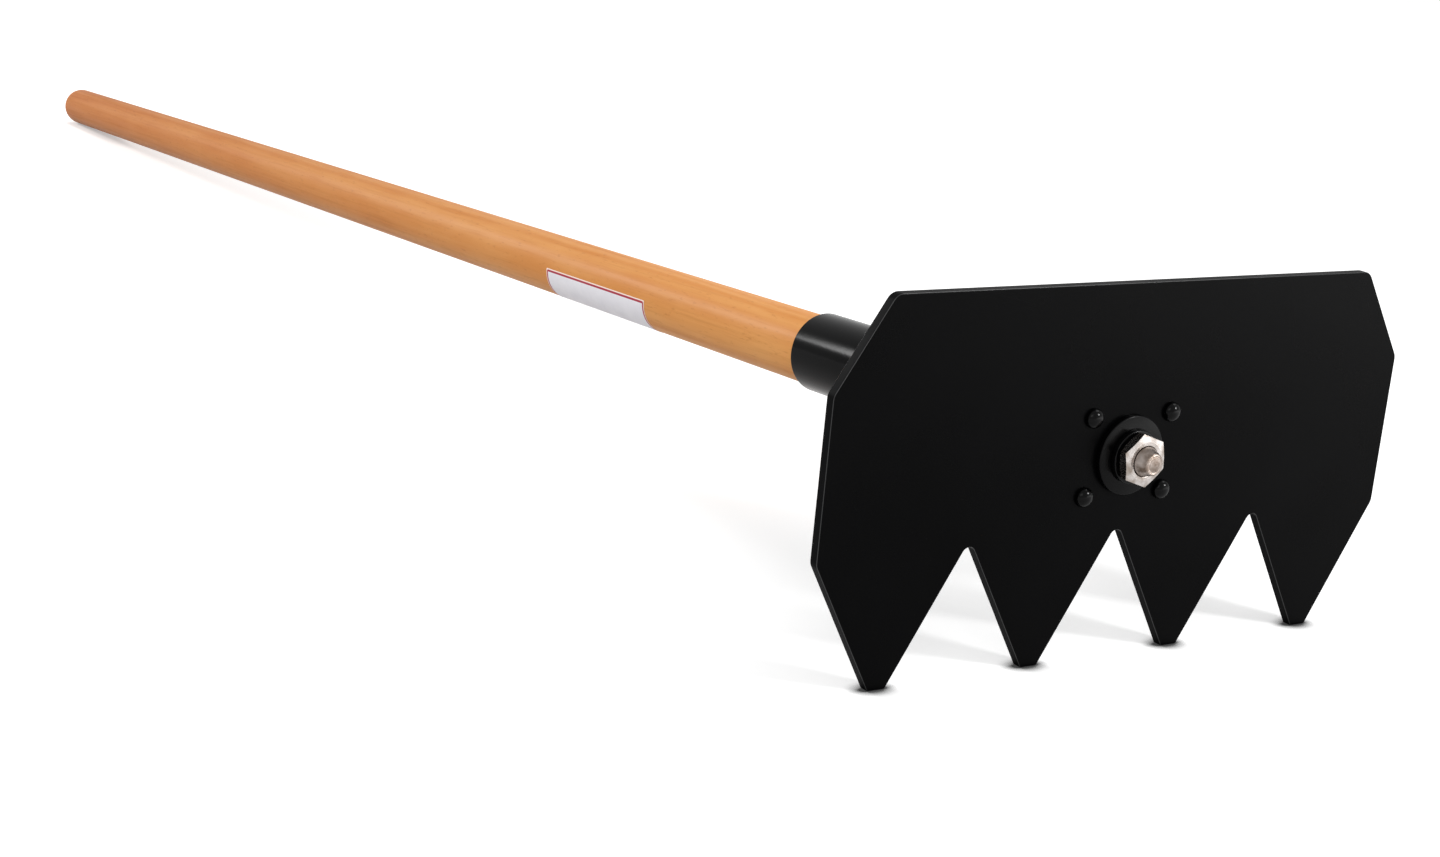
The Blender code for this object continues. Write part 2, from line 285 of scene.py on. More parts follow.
# Bright stainless steel with fine turning rings about the hub.
def turnedSteel(name, look):
    finish, tree, shader = newFinish(name)
    place = ownPlace(tree, hubPlace)
    flat = stretched(tree, place, (1, 1, 0))
    radius = addNode(tree, "VectorMath", {0: flat}, operation="LENGTH").outputs["Value"]
    ringPlace = addShare(tree, radius, addNoise(tree, place, look["driftScale"], 1), look["drift"])
    rings = addNode(tree, "TexNoise", {
        "W": ringPlace, "Scale": 1 / look["ringSize"], "Detail": 3.0},
        noise_dimensions="1D").outputs["Fac"]
    smears = addNoise(tree, place, look["smearScale"], 3)
    shader.inputs["Metallic"].default_value = 1.0
    warmth = spread(tree, smears, *look["warmRange"])
    colour = mixColours(tree, warmth, look["colour"], look["warmColour"])
    tree.links.new(colour, shader.inputs["Base Color"])
    marks = addMath(tree, "ADD", rings, smears)
    rough = spread(tree, marks, *look["markRange"], *look["roughness"])
    tree.links.new(rough, shader.inputs["Roughness"])
    addBump(tree, shader, rings, look["ringDepth"])
    return finish


# Varnished hardwood whose grain runs along the handle.
def handleWood(name, look):
    finish, tree, shader = newFinish(name)
    place = ownPlace(tree, handlePlace)

    def addGrain(grain):
        return addNoise(tree, stretched(tree, place, (1, 1, grain["stretch"])),
                        grain["scale"], grain["detail"], grain["roughness"])

    long = stretched(tree, place, (1, 1, look["bandStretch"]))
    wander = addMath(tree, "MULTIPLY", addNoise(tree, long, look["wanderScale"], 2), look["wander"])
    shift = addNode(tree, "CombineXYZ", {"X": wander}).outputs[0]
    grainPlace = addNode(tree, "VectorMath", {0: long, 1: shift}, operation="ADD").outputs[0]
    bands = addNode(tree, "TexWave", {
        "Vector": grainPlace, "Scale": look["bandScale"], "Distortion": 5.0, "Detail": 3.0,
        "Detail Scale": 1.4, "Detail Roughness": 0.6}, bands_direction="X").outputs["Fac"]
    clouds, streaks, flecks = (addGrain(look[kind]) for kind in ("clouds", "streaks", "flecks"))

    banding = addMath(tree, "MULTIPLY", bands, look["bandShare"])
    tone = addShare(tree, banding, clouds, look["cloudShare"])
    colour = mixColours(tree, spread(tree, tone, *look["toneRange"]), look["light"], look["middle"])
    for marks, tint in ((streaks, look["streakTint"]), (flecks, look["fleckTint"])):
        colour = mixColours(tree, spread(tree, marks, *tint), colour, look["dark"])
    along = addNode(tree, "SeparateXYZ", {0: place}).outputs["Z"]
    # painted shade: from 0.35 m on, the wood is darkened and reddened towards the far end, where
    # less light falls
    paintedFarShade = spread(tree, along, look["farShadeFrom"], look["endAt"])
    colour = mixColours(tree, paintedFarShade, colour, look["paintedFarShade"], "MULTIPLY")
    endShare = spread(tree, along, look["endGrainFrom"], look["endAt"], 0, look["endGrainShare"])
    colour = mixColours(tree, endShare, colour, look["endGrain"])
    tree.links.new(colour, shader.inputs["Base Color"])

    rough = spread(tree, streaks, *middleRange, *look["roughness"])
    tree.links.new(rough, shader.inputs["Roughness"])
    shader.inputs["Specular IOR Level"].default_value = look["specular"]
    shader.inputs["Coat Weight"].default_value = look["varnish"]
    shader.inputs["Coat Roughness"].default_value = look["varnishRoughness"]
    addBump(tree, shader, addShare(tree, streaks, clouds, look["cloudRise"]), look["grainDepth"])
    return finish


# Satin sheet with a printed line inside its edge. Its UV map is in metres from one corner.
def stickerSheet(name, look, size):
    finish, tree, shader = newFinish(name)
    uv = addNode(tree, "UVMap", uv_map="sheet").outputs["UV"]
    flat = addNode(tree, "SeparateXYZ", {0: uv})
    squares = []
    for axis, length in (("X", size[0]), ("Y", size[1])):
        across = flat.outputs[axis]
        inside = addMath(tree, "MINIMUM", across, addMath(tree, "SUBTRACT", length, across))
        short = addMath(tree, "MAXIMUM", addMath(tree, "SUBTRACT", look["lineCorner"], inside), 0.0)
        squares.append(addMath(tree, "POWER", short, 2.0))
    reach = addMath(tree, "SQRT", addMath(tree, "ADD", *squares))
    inset = addMath(tree, "SUBTRACT", look["lineCorner"], reach)        # distance in from the edge
    begin, soft = look["lineInset"], look["lineSoftness"]
    end = begin + look["lineWidth"]
    line = addMath(tree, "MULTIPLY", spread(tree, inset, begin - soft, begin + soft),
                   spread(tree, inset, end + soft, end - soft))
    place = ownPlace(tree, handlePlace)
    mottle = addNoise(tree, place, look["mottleScale"], 3)
    fibre = addNoise(tree, place, look["fibreScale"], 2)
    paper = mixColours(tree, spread(tree, mottle, *middleRange), look["paper"], look["paperShade"])
    rim = spread(tree, inset, begin + soft, begin - soft)
    margin = mixColours(tree, rim, paper, look["margin"])
    tree.links.new(mixColours(tree, line, margin, look["line"]), shader.inputs["Base Color"])
    rough = spread(tree, mottle, *middleRange, *look["roughness"])
    tree.links.new(rough, shader.inputs["Roughness"])
    shader.inputs["Specular IOR Level"].default_value = look["specular"]
    addBump(tree, shader, addShare(tree, fibre, mottle, look["mottleRise"]), look["fibreDepth"])
    return finish


# Blade: one flat plate with four teeth

blade = {
    "width": 0.330, "topWidth": 0.276, "height": 0.175,
    "cornerDrop": 0.042, "sideDrop": 0.115, "cornerRadius": 0.006,
    "hubDrop": 0.0787,              # from the top edge down to the hub
    "teeth": 4, "toothPitch": 0.0845, "toothLength": 0.064,
    "tipWidth": 0.0092, "tipRadius": 0.001, "notchRadius": 0.0036,
    "edgeRadius": 0.0005,
    "coat": {"colour": (0.0008, 0.0008, 0.0009), "roughness": (0.22, 0.34), "specular": 0.026,
             "peelSize": 0.0015, "peelDepth": 0.000016},
    "cutEdge": {"colour": (0.0016, 0.0016, 0.0018), "roughness": (0.36, 0.50), "specular": 0.016,
                "peelSize": 0.0012, "peelDepth": 0.00003, "cutSize": 0.0007, "cutShare": 1.6},
    # painted highlight: the rounded edges take a lighter, much glossier copy of the coat, which
    # draws a bright line along them
    "edgeHighlight": {"colour": (0.004, 0.004, 0.0044), "roughness": (0.20, 0.36), "specular": 0.42,
                    "peelSize": 0.0010, "peelDepth": 0.00002},
}
rivets = {
    "across": 0.0458, "up": 0.0364, "holeRadius": 0.0035,
    "shankRadius": 0.003, "headRadius": 0.0046, "headHeight": 0.0033,
    "tailRadius": 0.0041, "tailHeight": 0.0026,
    "flatShare": 0.16,              # how far the dome's top is pressed flat
    "domeSteps": 14, "sharpAngle": 40,
    "coat": {"colour": (0.0007, 0.0007, 0.0008), "roughness": (0.13, 0.17), "specular": 0.09,
             "peelSize": 0.0012, "peelDepth": 0.000004},
}
hubHoleRadius = 0.0071


def rivetPlaces():
    for rise, y in (("upper", rivets["up"] / 2), ("lower", -rivets["up"] / 2)):
        for side, x in (("left", -rivets["across"] / 2), ("right", rivets["across"] / 2)):
            yield rise + "_" + side, x, y


def bladeOutline():
    top = blade["hubDrop"]
    half, tips = blade["width"] / 2, top - blade["height"]
    notches = tips + blade["toothLength"]
    radius = blade["cornerRadius"]
    right = [(blade["topWidth"] / 2, top, radius), (half, top - blade["cornerDrop"], radius),
             (half, top - blade["sideDrop"], radius)]
    lower = []
    for tooth in range(blade["teeth"]):
        middle = ((blade["teeth"] - 1) / 2 - tooth) * blade["toothPitch"]
        lower.append((middle + blade["tipWidth"] / 2, tips, blade["tipRadius"]))
        lower.append((middle - blade["tipWidth"] / 2, tips, blade["tipRadius"]))
        if tooth < blade["teeth"] - 1:
            lower.append((middle - blade["toothPitch"] / 2, notches, blade["notchRadius"]))
    left = [(-x, y, corner) for x, y, corner in reversed(right)]
    return roundCorners(right + lower + left)


def plateHoles():
    holes = [circlePoints(0, 0, hubHoleRadius, fine["small"])]
    for _, x, y in rivetPlaces():
        holes.append(circlePoints(x, y, rivets["holeRadius"], fine["hole"]))
    return holes


bladeCoat = powderCoat("bladeCoat", blade["coat"])
cutEdgeCoat = powderCoat("cutEdgeCoat", blade["cutEdge"])
# painted highlight: the rounded edges' finish is a lit copy of the blade's coat
edgeHighlightCoat = powderCoat("edgeHighlightCoat", blade["edgeHighlight"])
plateCoats = [bladeCoat, cutEdgeCoat, edgeHighlightCoat]
bladeMesh = plateMesh("bladePlate", bladeOutline(), plateHoles(), tool["bladeThickness"],
                      blade["edgeRadius"], -tool["bladeThickness"])
keepFlats(addPiece("bladePlate", bladeMesh, hubPlace, plateCoats, "blade"))
print("blade done")

# Flange: the plate behind the blade that carries the socket
flange = {
    "width": 0.062, "height": 0.0535, "thickness": 0.005, "cornerRadius": 0.008,
    "edgeRadius": 0.0005,
}
flangeBack = tool["bladeThickness"] + tool["gap"] + flange["thickness"]
flangeCorners = [(side * flange["width"] / 2, rise * flange["height"] / 2, flange["cornerRadius"])
                 for side, rise in ((1, 1), (1, -1), (-1, -1), (-1, 1))]
flangeMesh = plateMesh("socketFlange", roundCorners(flangeCorners), plateHoles(),
                       flange["thickness"], flange["edgeRadius"], -flangeBack)
keepFlats(addPiece("socketFlange", flangeMesh, hubPlace, plateCoats,
                   "socket_flange"))
print("flange done")


# Rivets: domed heads in front, flatter domes behind
def rivetProfile():
    def dome(radius, base, height):
        points = []
        for step in range(rivets["domeSteps"] + 1):
            angle = math.pi / 2 * step / rivets["domeSteps"]
            rise = math.cos(angle) ** (1 - rivets["flatShare"])
            points.append((radius * math.sin(angle), base + height * rise))
        return points
    gap = tool["gap"]
    back = -(flangeBack + gap)
    profile = dome(rivets["headRadius"], gap, rivets["headHeight"])
    profile += [(rivets["shankRadius"], gap), (rivets["shankRadius"], back)]
    return profile + dome(rivets["tailRadius"], back, -rivets["tailHeight"])[::-1]


rivetCoat = powderCoat("rivetCoat", rivets["coat"])
for rivetName, x, y in rivetPlaces():
    rivetMesh = turnMesh("domedRivet_" + rivetName, rivetProfile(), fine["small"],
                         sharpAngle=rivets["sharpAngle"])
    rivetPlace = hubPlace @ Matrix.Translation((x, y, 0))
    addPiece("domedRivet_" + rivetName, rivetMesh, rivetPlace, [rivetCoat],
             "rivet_" + rivetName)
print("rivets done")

# Disc under the nut, whose front rises slightly from its rim to the washer
disc = {
    "radius": 0.0184, "rimThickness": 0.0024, "thickness": 0.0030, "footRadius": 0.0130,
    "footSoftness": 0.0012, "edge": 0.0005, "hiddenEdge": 0.0002,
    "coat": {"colour": (0.0009, 0.0009, 0.0010), "roughness": (0.20, 0.28), "specular": 0.075,
             "peelSize": 0.0012, "peelDepth": 0.000006},
}
discBase = tool["gap"]
discRim, discFront = discBase + disc["rimThickness"], discBase + disc["thickness"]
discProfile = roundCorners([
    (disc["footRadius"], discFront, disc["footSoftness"]),
    (disc["radius"], discRim, disc["edge"]),
    (disc["radius"], discBase, disc["hiddenEdge"]),
    (hubHoleRadius, discBase, disc["hiddenEdge"]),
    (hubHoleRadius, discFront, disc["hiddenEdge"]),
], fine["edge"])
discCoat = powderCoat("discCoat", disc["coat"])
addPiece("conedDisc", turnMesh("conedDisc", discProfile, fine["wide"], closed=True), hubPlace,
         [discCoat], "hub_disc")
print("disc done")

# Black washer on the disc
washer = {
    "radius": 0.0125, "thickness": 0.0025, "edge": 0.0004, "hiddenEdge": 0.0001,
    "coat": {"colour": (0.0011, 0.0011, 0.0013), "roughness": (0.18, 0.26), "specular": 0.12,
             "peelSize": 0.0010, "peelDepth": 0.000005},
}
washerBase = discFront + tool["gap"]
washerTop = washerBase + washer["thickness"]
washerProfile = roundCorners([
    (washer["radius"], washerTop, washer["edge"]),
    (washer["radius"], washerBase, washer["hiddenEdge"]),
    (hubHoleRadius, washerBase, washer["hiddenEdge"]),
    (hubHoleRadius, washerTop, washer["edge"]),
], fine["thinEdge"])
washerCoat = powderCoat("washerCoat", washer["coat"])
addPiece("plainWasher", turnMesh("plainWasher", washerProfile, fine["middle"], closed=True),
         hubPlace, [washerCoat], "washer")
print("washer done")

# Nut and stud in bright steel
steel = {
    "colour": (0.50, 0.465, 0.445), "warmColour": (0.25, 0.21, 0.18), "roughness": (0.20, 0.34),
    "ringSize": 0.00035, "ringDepth": 0.0000008,
    "driftScale": 300, "drift": 0.0003,             # how far the rings stray
    "smearScale": 180, "warmRange": (0.38, 0.64), "markRange": (0.7, 1.3),
}
studSteel = {
    **steel, "colour": (0.38, 0.33, 0.30), "warmColour": (0.15, 0.112, 0.088),
    "roughness": (0.28, 0.42), "ringSize": 0.0005,
}
brightSteel = turnedSteel("brightSteel", steel)
satinSteel = turnedSteel("satinSteel", studSteel)

nut = {
    "acrossFlats": 0.022, "height": 0.006, "turn": -20.0, "cornerRadius": 0.0006,
    "faceRadius": 0.009,            # where the flat faces end and the chamfers start
    "frontChamfer": 15.0, "backChamfer": 26.0, "boreRadius": 0.0071, "countersink": 0.0002,
    "flatSteps": 16, "flatFrom": 0.002,             # points along each side longer than this
    "sharpAngle": 11, "brokenEdge": 0.00014, "edgeSteps": 3,
}


# The nut's outline, with more points along each flat
def nutOutline():
    corner = nut["acrossFlats"] / math.sqrt(3)
    corners = [(corner * math.cos(math.radians(60 * side + nut["turn"])),
                corner * math.sin(math.radians(60 * side + nut["turn"])), nut["cornerRadius"])
               for side in range(6)]
    soft = roundCorners(corners, fine["edge"])
    outline = []
    for index, (x, y) in enumerate(soft):
        outline.append((x, y))
        nextX, nextY = soft[(index + 1) % len(soft)]
        if math.hypot(nextX - x, nextY - y) > nut["flatFrom"]:
            for part in range(1, nut["flatSteps"]):
                share = part / nut["flatSteps"]
                outline.append((x + (nextX - x) * share, y + (nextY - y) * share))
    return outline


# Rings from the bore's edge over the face, the chamfer and the flats to the back
def nutMesh():
    base = washerTop + tool["gap"]
    top = base + nut["height"]
    hexagon = nutOutline()

    def ring(radius, height):
        scaled = ((x, y, radius / math.hypot(x, y)) for x, y in hexagon)
        return [(x * scale, y * scale, height) for x, y, scale in scaled]

    face, bore, sink = nut["faceRadius"], nut["boreRadius"], nut["countersink"]
    frontSlope = math.tan(math.radians(nut["frontChamfer"]))
    backSlope = math.tan(math.radians(nut["backChamfer"]))
    shoulder = [(x, y, top - (math.hypot(x, y) - face) * frontSlope) for x, y in hexagon]
    heel = [(x, y, base + (math.hypot(x, y) - face) * backSlope) for x, y in hexagon]
    rings = [ring(bore + sink, top), ring(face, top), shoulder, heel,
             ring(face, base), ring(bore, base), ring(bore, top - sink)]
    return skinMesh("hexNut", rings, closed=True, sharpAngle=nut["sharpAngle"])


hexNut = addPiece("hexNut", nutMesh(), hubPlace, [brightSteel], "nut")
nutEdges = hexNut.modifiers.new("brokenEdges", "BEVEL")
nutEdges.width = nut["brokenEdge"]
nutEdges.segments = nut["edgeSteps"]
nutEdges.limit_method = "ANGLE"
nutEdges.angle_limit = math.radians(nut["sharpAngle"])
nutEdges.harden_normals = True
print("nut done")

stud = {
    "radius": 0.0069, "reach": 0.0062, "plainEnd": 0.0003, "taperEdge": 0.00025,
    "tipRadius": 0.0048, "tipDome": 0.0007,         # the end is domed inside a rounded rim
    "rimRadius": 0.0049, "rimEdge": 0.0006,
    "domeShares": (0, 0.12, 0.24, 0.36, 0.48, 0.6, 0.7, 0.8), "domeEnd": 0.8,   # of tipRadius
    "threadStart": 0.0001, "threadInset": 0.0005, "threadFade": 0.0004,     # at the nut's face
    "woodRadius": 0.005, "woodLength": 0.070, "pointLength": 0.008,
}
nutTop = washerTop + tool["gap"] + nut["height"]
domeRim = nutTop + stud["reach"] - stud["tipDome"]


def domePoint(share):
    return stud["tipRadius"] * share, domeRim + stud["tipDome"] * (1 - share ** 2)


insideRadius = stud["radius"] - stud["threadInset"]
studPoint = -(flangeBack + stud["woodLength"])
# The dome's last point comes twice. The faces between are empty and make the rim look brighter.
studProfile = [domePoint(share) for share in stud["domeShares"]]
studProfile += roundCorners([
    (*domePoint(stud["domeEnd"]), 0),
    (stud["rimRadius"], domeRim, stud["rimEdge"]),
    (stud["radius"], nutTop + stud["plainEnd"], stud["taperEdge"]),
    (stud["radius"], nutTop + stud["threadStart"], 0),
    (insideRadius, nutTop - stud["threadFade"], 0),
    (insideRadius, -flangeBack, 0),
], fine["edge"])
studProfile += [(stud["woodRadius"], -flangeBack),
                (stud["woodRadius"], studPoint + stud["pointLength"]), (0, studPoint)]
addPiece("threadedStud", turnMesh("threadedStud", studProfile, fine["middle"]), hubPlace,
         [satinSteel], "stud")
print("stud done")

# Ferrule: the socket tube, cut off flat against the flange
ferrule = {
    "radius": 0.0212, "wall": 0.002, "reach": 0.234, "edge": 0.0006, "innerEdge": 0.0003,
    "coat": {"colour": (0.0006, 0.0006, 0.0007), "roughness": (0.15, 0.20), "specular": 0.032,
             "peelSize": 0.0015, "peelDepth": 0.000020},
}
fall = math.radians(tool["handleFall"])
socketFace = (tool["gap"] + flange["thickness"] + tool["gap"]) / math.cos(fall)


def ferruleMesh():
    outer, bore = ferrule["radius"], ferrule["radius"] - ferrule["wall"]
    mouth = roundCorners([(outer, ferrule["reach"], ferrule["edge"]),
                          (bore, ferrule["reach"], ferrule["innerEdge"]),
                          (bore, 0, 0), (outer, 0, 0)], fine["edge"])
    rings = [circleRing(radius, height, fine["wide"]) for radius, height in mouth if height > 0]
    foot = [[(x, y, socketFace + y * math.tan(fall))
             for x, y in circlePoints(0, 0, radius, fine["wide"])] for radius in (bore, outer)]
    return skinMesh("socketTube", rings + foot, closed=True)


tubeCoat = powderCoat("tubeCoat", ferrule["coat"])
addPiece("socketTube", ferruleMesh(), handlePlace, [tubeCoat], "ferrule")
print("ferrule done")

# Weld: a fillet round the foot of the tube, laid in short overlapping beads
weld = {
    "leg": 0.003, "crown": 0.0004, "beads": 46, "beadDepth": 0.00028, "thinEdge": 0.0006,
    "lean": 0.35, "pinch": 1.6,     # how far the beads curve, and how sharply they meet
    "beadSteps": 8, "acrossSteps": 8, "sharpAngle": 60,
    "coat": {"colour": (0.0014, 0.0014, 0.0016), "roughness": (0.28, 0.38), "specular": 0.14,
             "peelSize": 0.0013, "peelDepth": 0.00001},
}


def weldMesh():
    foot = -(flangeBack + tool["gap"])
    clear = ferrule["radius"] + tool["gap"]
    around = weld["beads"] * weld["beadSteps"]
    rings = []
    for step in range(weld["acrossSteps"] + 1):     # from the flange to the tube
        share = step / weld["acrossSteps"]
        swell = math.sin(math.pi * share)
        out = clear + weld["leg"] * (1 - share) + weld["thinEdge"] * share
        back = foot - weld["leg"] * share
        ring = []
        for part in range(around):
            turn = 2 * math.pi * part / around
            beat = (turn * weld["beads"] / (2 * math.pi) + weld["lean"] * swell) % 1.0
            ripple = weld["beadDepth"] * (abs(2 * beat - 1) ** weld["pinch"] - 0.5)
            lift = (weld["crown"] - ripple) * swell
            reach = out + lift
            ring.append((reach * math.cos(turn), reach * math.sin(turn), back - lift))
        rings.append(ring)
    inner = [circleRing(clear, height, around) for height in (foot - weld["leg"], foot)]
    return skinMesh("filletWeld", rings + inner, closed=True, sharpAngle=weld["sharpAngle"])


weldCoat = powderCoat("weldCoat", weld["coat"])
addPiece("filletWeld", weldMesh(), hubPlace, [weldCoat], "weld_bead")
print("weld done")

# Handle
handle = {
    "clearance": 0.0003, "reach": 1.511, "endRadius": 0.0162, "endCrown": 0.013, "chamfer": 0.002,
    "crownSteps": 16, "taperSteps": 24,
    "wood": {
        "light": (0.83, 0.39, 0.125), "middle": (0.73, 0.29, 0.072), "dark": (0.50, 0.175, 0.040),
        # painted shade: the first colour is multiplied into the wood towards the far end, where
        # less light falls
        "paintedFarShade": (0.62, 0.47, 0.32), "endGrain": (0.42, 0.17, 0.06), "endGrainShare": 0.45,
        "farShadeFrom": 0.35, "endGrainFrom": 1.494, "endAt": 1.511,   # metres along the handle
        "bandStretch": 0.055, "bandScale": 0.314 / 0.0075,          # bands 7.5 mm apart
        "wanderScale": 22, "wander": 0.012,
        "clouds": {"stretch": 0.30, "scale": 48, "detail": 3, "roughness": 0.5},
        "streaks": {"stretch": 0.03, "scale": 420, "detail": 3, "roughness": 0.6},
        "flecks": {"stretch": 0.22, "scale": 620, "detail": 2, "roughness": 0.55},
        "bandShare": 0.28, "cloudShare": 0.72, "toneRange": (0.25, 0.75),
        "streakTint": (0.50, 0.74, 0, 0.28), "fleckTint": (0.60, 0.76, 0, 0.40),
        "grainDepth": 0.00002, "cloudRise": 2.5,
        "roughness": (0.42, 0.52), "specular": 0.06, "varnish": 0.03, "varnishRoughness": 0.24,
    },
}
handleRadius = ferrule["radius"] - ferrule["wall"] - handle["clearance"]
crownStart = handle["reach"] - handle["endCrown"]


# The handle's radius at a distance along it
def surfaceRadius(distance):
    share = (distance - ferrule["reach"]) / (crownStart - ferrule["reach"])
    return handleRadius + (handle["endRadius"] - handleRadius) * share


def handleMesh():
    profile = []
    for step in range(handle["crownSteps"] + 1):    # the domed end
        angle = math.pi / 2 * step / handle["crownSteps"]
        profile.append((handle["endRadius"] * math.sin(angle),
                        crownStart + handle["endCrown"] * math.cos(angle)))
    for step in range(1, handle["taperSteps"] + 1):     # the taper up to the tube's mouth
        distance = crownStart + (ferrule["reach"] - crownStart) * step / handle["taperSteps"]
        profile.append((surfaceRadius(distance), distance))
    foot = socketFace + handleRadius * math.tan(fall)
    profile += [(handleRadius, foot + handle["chamfer"]), (handleRadius - handle["chamfer"], foot),
                (0, foot)]
    return turnMesh("handleWood", profile, fine["wide"])


wood = handleWood("handleWood", handle["wood"])
addPiece("woodenHandle", handleMesh(), handlePlace, [wood], "handle")
print("handle done")

# Sticker wrapped round the front and underside of the handle
label = {
    "start": 0.3905, "length": 0.120, "girth": 0.045, "turn": 45.0,
    "cornerRadius": 0.0007, "gap": 0.00004, "thickness": 0.00012,
    "cornerSteps": 8, "alongSteps": 24, "acrossSteps": 48,
    "sheet": {
        "paper": (0.94, 0.925, 0.97), "paperShade": (0.88, 0.865, 0.92),
        "margin": (0.94, 0.76, 0.68), "line": (0.42, 0.020, 0.045),
        "lineInset": 0.0007, "lineWidth": 0.0013, "lineCorner": 0.0022, "lineSoftness": 0.00012,
        "mottleScale": 90, "mottleRise": 6.0, "fibreScale": 1500, "fibreDepth": 0.000008,
        "roughness": (0.40, 0.50), "specular": 0.15,
    },
}


def labelMesh():
    length, girth, corner = label["length"], label["girth"], label["cornerRadius"]
    middleRadius = surfaceRadius(label["start"] + length / 2)
    rounded = [corner * (1 - math.cos(math.pi / 2 * step / label["cornerSteps"]))
               for step in range(label["cornerSteps"] + 1)]
    rows = rounded + [corner + (length - 2 * corner) * step / label["alongSteps"]
                      for step in range(1, label["alongSteps"])]
    rows += [length - row for row in reversed(rounded)]
    form = bmesh.new()
    sheet = form.loops.layers.uv.new("sheet")
    grid = []
    for along in rows:
        edge = max(corner - min(along, length - along), 0)
        inset = corner - math.sqrt(corner ** 2 - edge ** 2)
        distance = label["start"] + along
        radius = surfaceRadius(distance) + label["gap"]
        row = []
        for step in range(label["acrossSteps"] + 1):
            across = inset + (girth - 2 * inset) * step / label["acrossSteps"]
            angle = math.radians(label["turn"]) + across / middleRadius
            point = (radius * math.cos(angle), radius * math.sin(angle), distance)
            row.append((form.verts.new(point), (along, across)))
        grid.append(row)
    for low, high in zip(grid, grid[1:]):
        for step in range(label["acrossSteps"]):
            corners = [low[step], low[step + 1], high[step + 1], high[step]]
            face = form.faces.new([vertex for vertex, _ in corners])
            face.smooth = True
            for loop, (_, place) in zip(face.loops, corners):
                loop[sheet].uv = place
    mesh = bpy.data.meshes.new("sticker")
    form.to_mesh(mesh)
    form.free()
    return mesh


stickerFinish = stickerSheet("stickerSheet", label["sheet"], (label["length"], label["girth"]))
sticker = addPiece("wrapSticker", labelMesh(), handlePlace, [stickerFinish],
                   "handle_label")
sheetBody = sticker.modifiers.new("thickness", "SOLIDIFY")
sheetBody.thickness = label["thickness"]
sheetBody.offset = 1.0
print("sticker done")

# Studio: a white floor, an even white room and five soft lamps
studio = {
    "roomLight": 0.60,              # how strongly the room lights the tool
    "floor": {
        "size": 14.0, "drop": 0.0002, "colour": 0.90,
        "bounce": 0.48,             # the floor's colour in the light that it throws on the tool
        "centre": (0.0, -0.78, 0.0), "near": 0.20, "far": 0.75,     # the lamps fall off between
        "nearGlow": 0.32, "farGlow": 0.44,
        # painted shade: close to what stands on the floor, its colour and glow are darkened down to
        # these levels
        "contactReach": 0.008, "contactRange": (0.58, 0.96),
        "nearPaintedShadeLevel": 0.08, "farPaintedShadeLevel": 0.80,    # what is left of the light at a contact
    },
    "lamps": {
        "keyLamp": {"aim": (0.0, -0.75, 0.10), "towards": (0.60, -0.72, 0.35), "away": 1.6,
                    "size": (0.24, 0.24), "power": 14.0},
        "frontPanel": {"aim": (0.0, -0.75, 0.13), "towards": (0.69, -0.72, -0.06), "away": 0.84,
                       "size": (0.65, 0.12), "power": 0.5},
        "fillPanel": {"aim": (0.0, -0.40, 0.10), "towards": (-0.50, -0.75, 0.40), "away": 1.8,
                      "size": (0.9, 0.6), "power": 4.0},
        "rearLamp": {"aim": (-0.018, -0.535, 0.095), "towards": (-0.45, 0.82, 0.35), "away": 4.0,
                     "size": (0.9, 0.9), "power": 68.0},
        "topLamp": {"aim": (0.0, -0.75, 0.17), "towards": (0.53, -0.24, 0.79), "away": 1.5,
                    "size": (0.6, 0.6), "power": 4.5},
    },
}


def grey(level):
    return level, level, level


# Shows one shader to the camera and to reflections, and lets another light the tool.
def mixSeen(tree, lit, seen):
    path = addNode(tree, "LightPath")
    share = addMath(tree, "MAXIMUM", path.outputs["Is Camera Ray"], path.outputs["Is Glossy Ray"])
    share = addMath(tree, "MAXIMUM", share, path.outputs["Is Transmission Ray"])
    return addNode(tree, "MixShader", {0: share, 1: lit.outputs[0], 2: seen.outputs[0]}).outputs[0]


def buildRoom():
    world = bpy.data.worlds.new("whiteRoom")
    bpy.context.scene.world = world
    world.use_nodes = True
    tree = world.node_tree
    tree.nodes.clear()
    lit = addNode(tree, "Background", {"Color": (1, 1, 1, 1), "Strength": studio["roomLight"]})
    seen = addNode(tree, "Background", {"Color": (1, 1, 1, 1), "Strength": 1.0})
    addNode(tree, "OutputWorld", {"Surface": mixSeen(tree, lit, seen)})


# The floor's own glow keeps it white. It is weaker near the blade, where the lamps are strong.
# Close to what stands on the floor, an ambient occlusion mask darkens its glow and colour: a
# painted contact shadow.
def floorPaper():
    look = studio["floor"]
    finish, tree, shader = newFinish("floorPaper")
    tree.nodes.remove(shader)
    spot = addNode(tree, "TexCoord").outputs["Object"]
    away = addNode(tree, "VectorMath", {0: spot, 1: look["centre"]}, operation="DISTANCE")

    def byDistance(near, far):
        return spread(tree, away.outputs["Value"], look["near"], look["far"], near, far)

    # painted shade: ambient occlusion darkens the floor's colour and glow beside what touches it
    openShare = addNode(tree, "AmbientOcclusion", {"Distance": look["contactReach"]},
                        samples=16).outputs["AO"]
    contact = byDistance(look["nearPaintedShadeLevel"], look["farPaintedShadeLevel"])
    clear = spread(tree, openShare, *look["contactRange"], contact, 1.0)
    level = addMath(tree, "MULTIPLY", byDistance(look["nearGlow"], look["farGlow"]), clear)
    glow = addNode(tree, "Emission", {"Color": (1, 1, 1, 1), "Strength": level})
    tone = mixColours(tree, clear, grey(0), grey(look["colour"]))
    paper = addNode(tree, "BsdfDiffuse", {"Color": tone})
    seen = addNode(tree, "AddShader", {0: glow.outputs[0], 1: paper.outputs[0]})
    lit = addNode(tree, "BsdfDiffuse", {"Color": (*grey(look["bounce"]), 1)})
    output = tree.nodes["Material Output"]
    tree.links.new(mixSeen(tree, lit, seen), output.inputs["Surface"])
    return finish


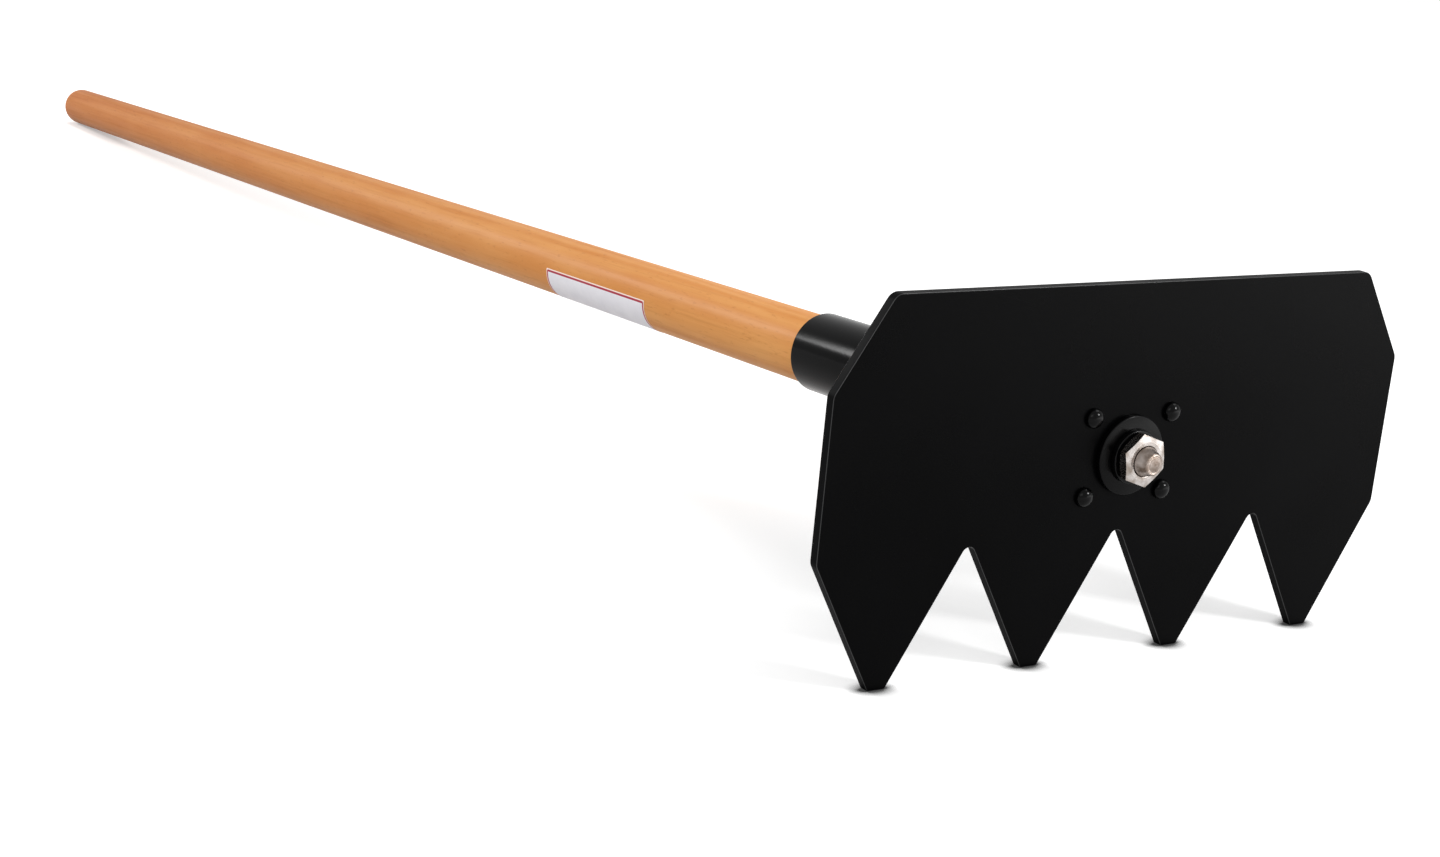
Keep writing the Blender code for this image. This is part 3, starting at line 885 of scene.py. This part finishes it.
def buildFloor():
    half = studio["floor"]["size"] / 2
    corners = [(-half, -half, 0), (half, -half, 0), (half, half, 0), (-half, half, 0)]
    mesh = bpy.data.meshes.new("floor")
    mesh.from_pydata(corners, [], [(0, 1, 2, 3)])
    mesh.materials.append(floorPaper())
    floor = bpy.data.objects.new("floor", mesh)
    floor.location.z = -studio["floor"]["drop"]
    bpy.context.scene.collection.objects.link(floor)


def hangLamps():
    for lampName, lamp in studio["lamps"].items():
        light = bpy.data.lights.new(lampName, "AREA")
        light.shape = "RECTANGLE"
        light.size, light.size_y = lamp["size"]
        light.energy = lamp["power"]
        holder = bpy.data.objects.new(lampName, light)
        bpy.context.scene.collection.objects.link(holder)
        towards = Vector(lamp["towards"]).normalized()
        holder.location = Vector(lamp["aim"]) + towards * lamp["away"]
        holder.rotation_euler = towards.to_track_quat("Z", "Y").to_euler()
        holder.visible_camera = False


buildRoom()
buildFloor()
hangLamps()
print("studio done")

# Camera, as the tool was photographed. The picture is taken to be 1440 x 857.
view = {
    "azimuth": -33.450, "elevation": 15.137, "roll": 5.216, "distance": 0.9284,
    "aim": (-0.2188, -0.7476, 0.1235), "focalPixels": 2350.9, "pictureWidth": 1440,
    "filmWidth": 36.0, "nearest": 0.01, "farthest": 50.0,
}


def setCamera():
    azimuth, elevation, roll = (math.radians(view[key]) for key in ("azimuth", "elevation", "roll"))
    back = Vector((math.sin(azimuth) * math.cos(elevation),
                   -math.cos(azimuth) * math.cos(elevation), math.sin(elevation)))
    level = (-back).cross(Vector((0, 0, 1))).normalized()
    upright = level.cross(-back)
    right = level * math.cos(roll) + upright * math.sin(roll)
    up = upright * math.cos(roll) - level * math.sin(roll)
    lens = bpy.data.cameras.new("productCamera")
    lens.sensor_fit = "HORIZONTAL"
    lens.sensor_width = view["filmWidth"]
    lens.lens = view["focalPixels"] / view["pictureWidth"] * lens.sensor_width
    lens.clip_start, lens.clip_end = view["nearest"], view["farthest"]
    camera = bpy.data.objects.new("productCamera", lens)
    bpy.context.scene.collection.objects.link(camera)
    turn = Matrix((right, up, back)).transposed().to_4x4()
    camera.matrix_world = Matrix.Translation(Vector(view["aim"]) + back * view["distance"]) @ turn
    bpy.context.scene.camera = camera


setCamera()
bpy.context.scene.view_settings.view_transform = "Standard"
bpy.context.view_layer.update()
print("camera done")
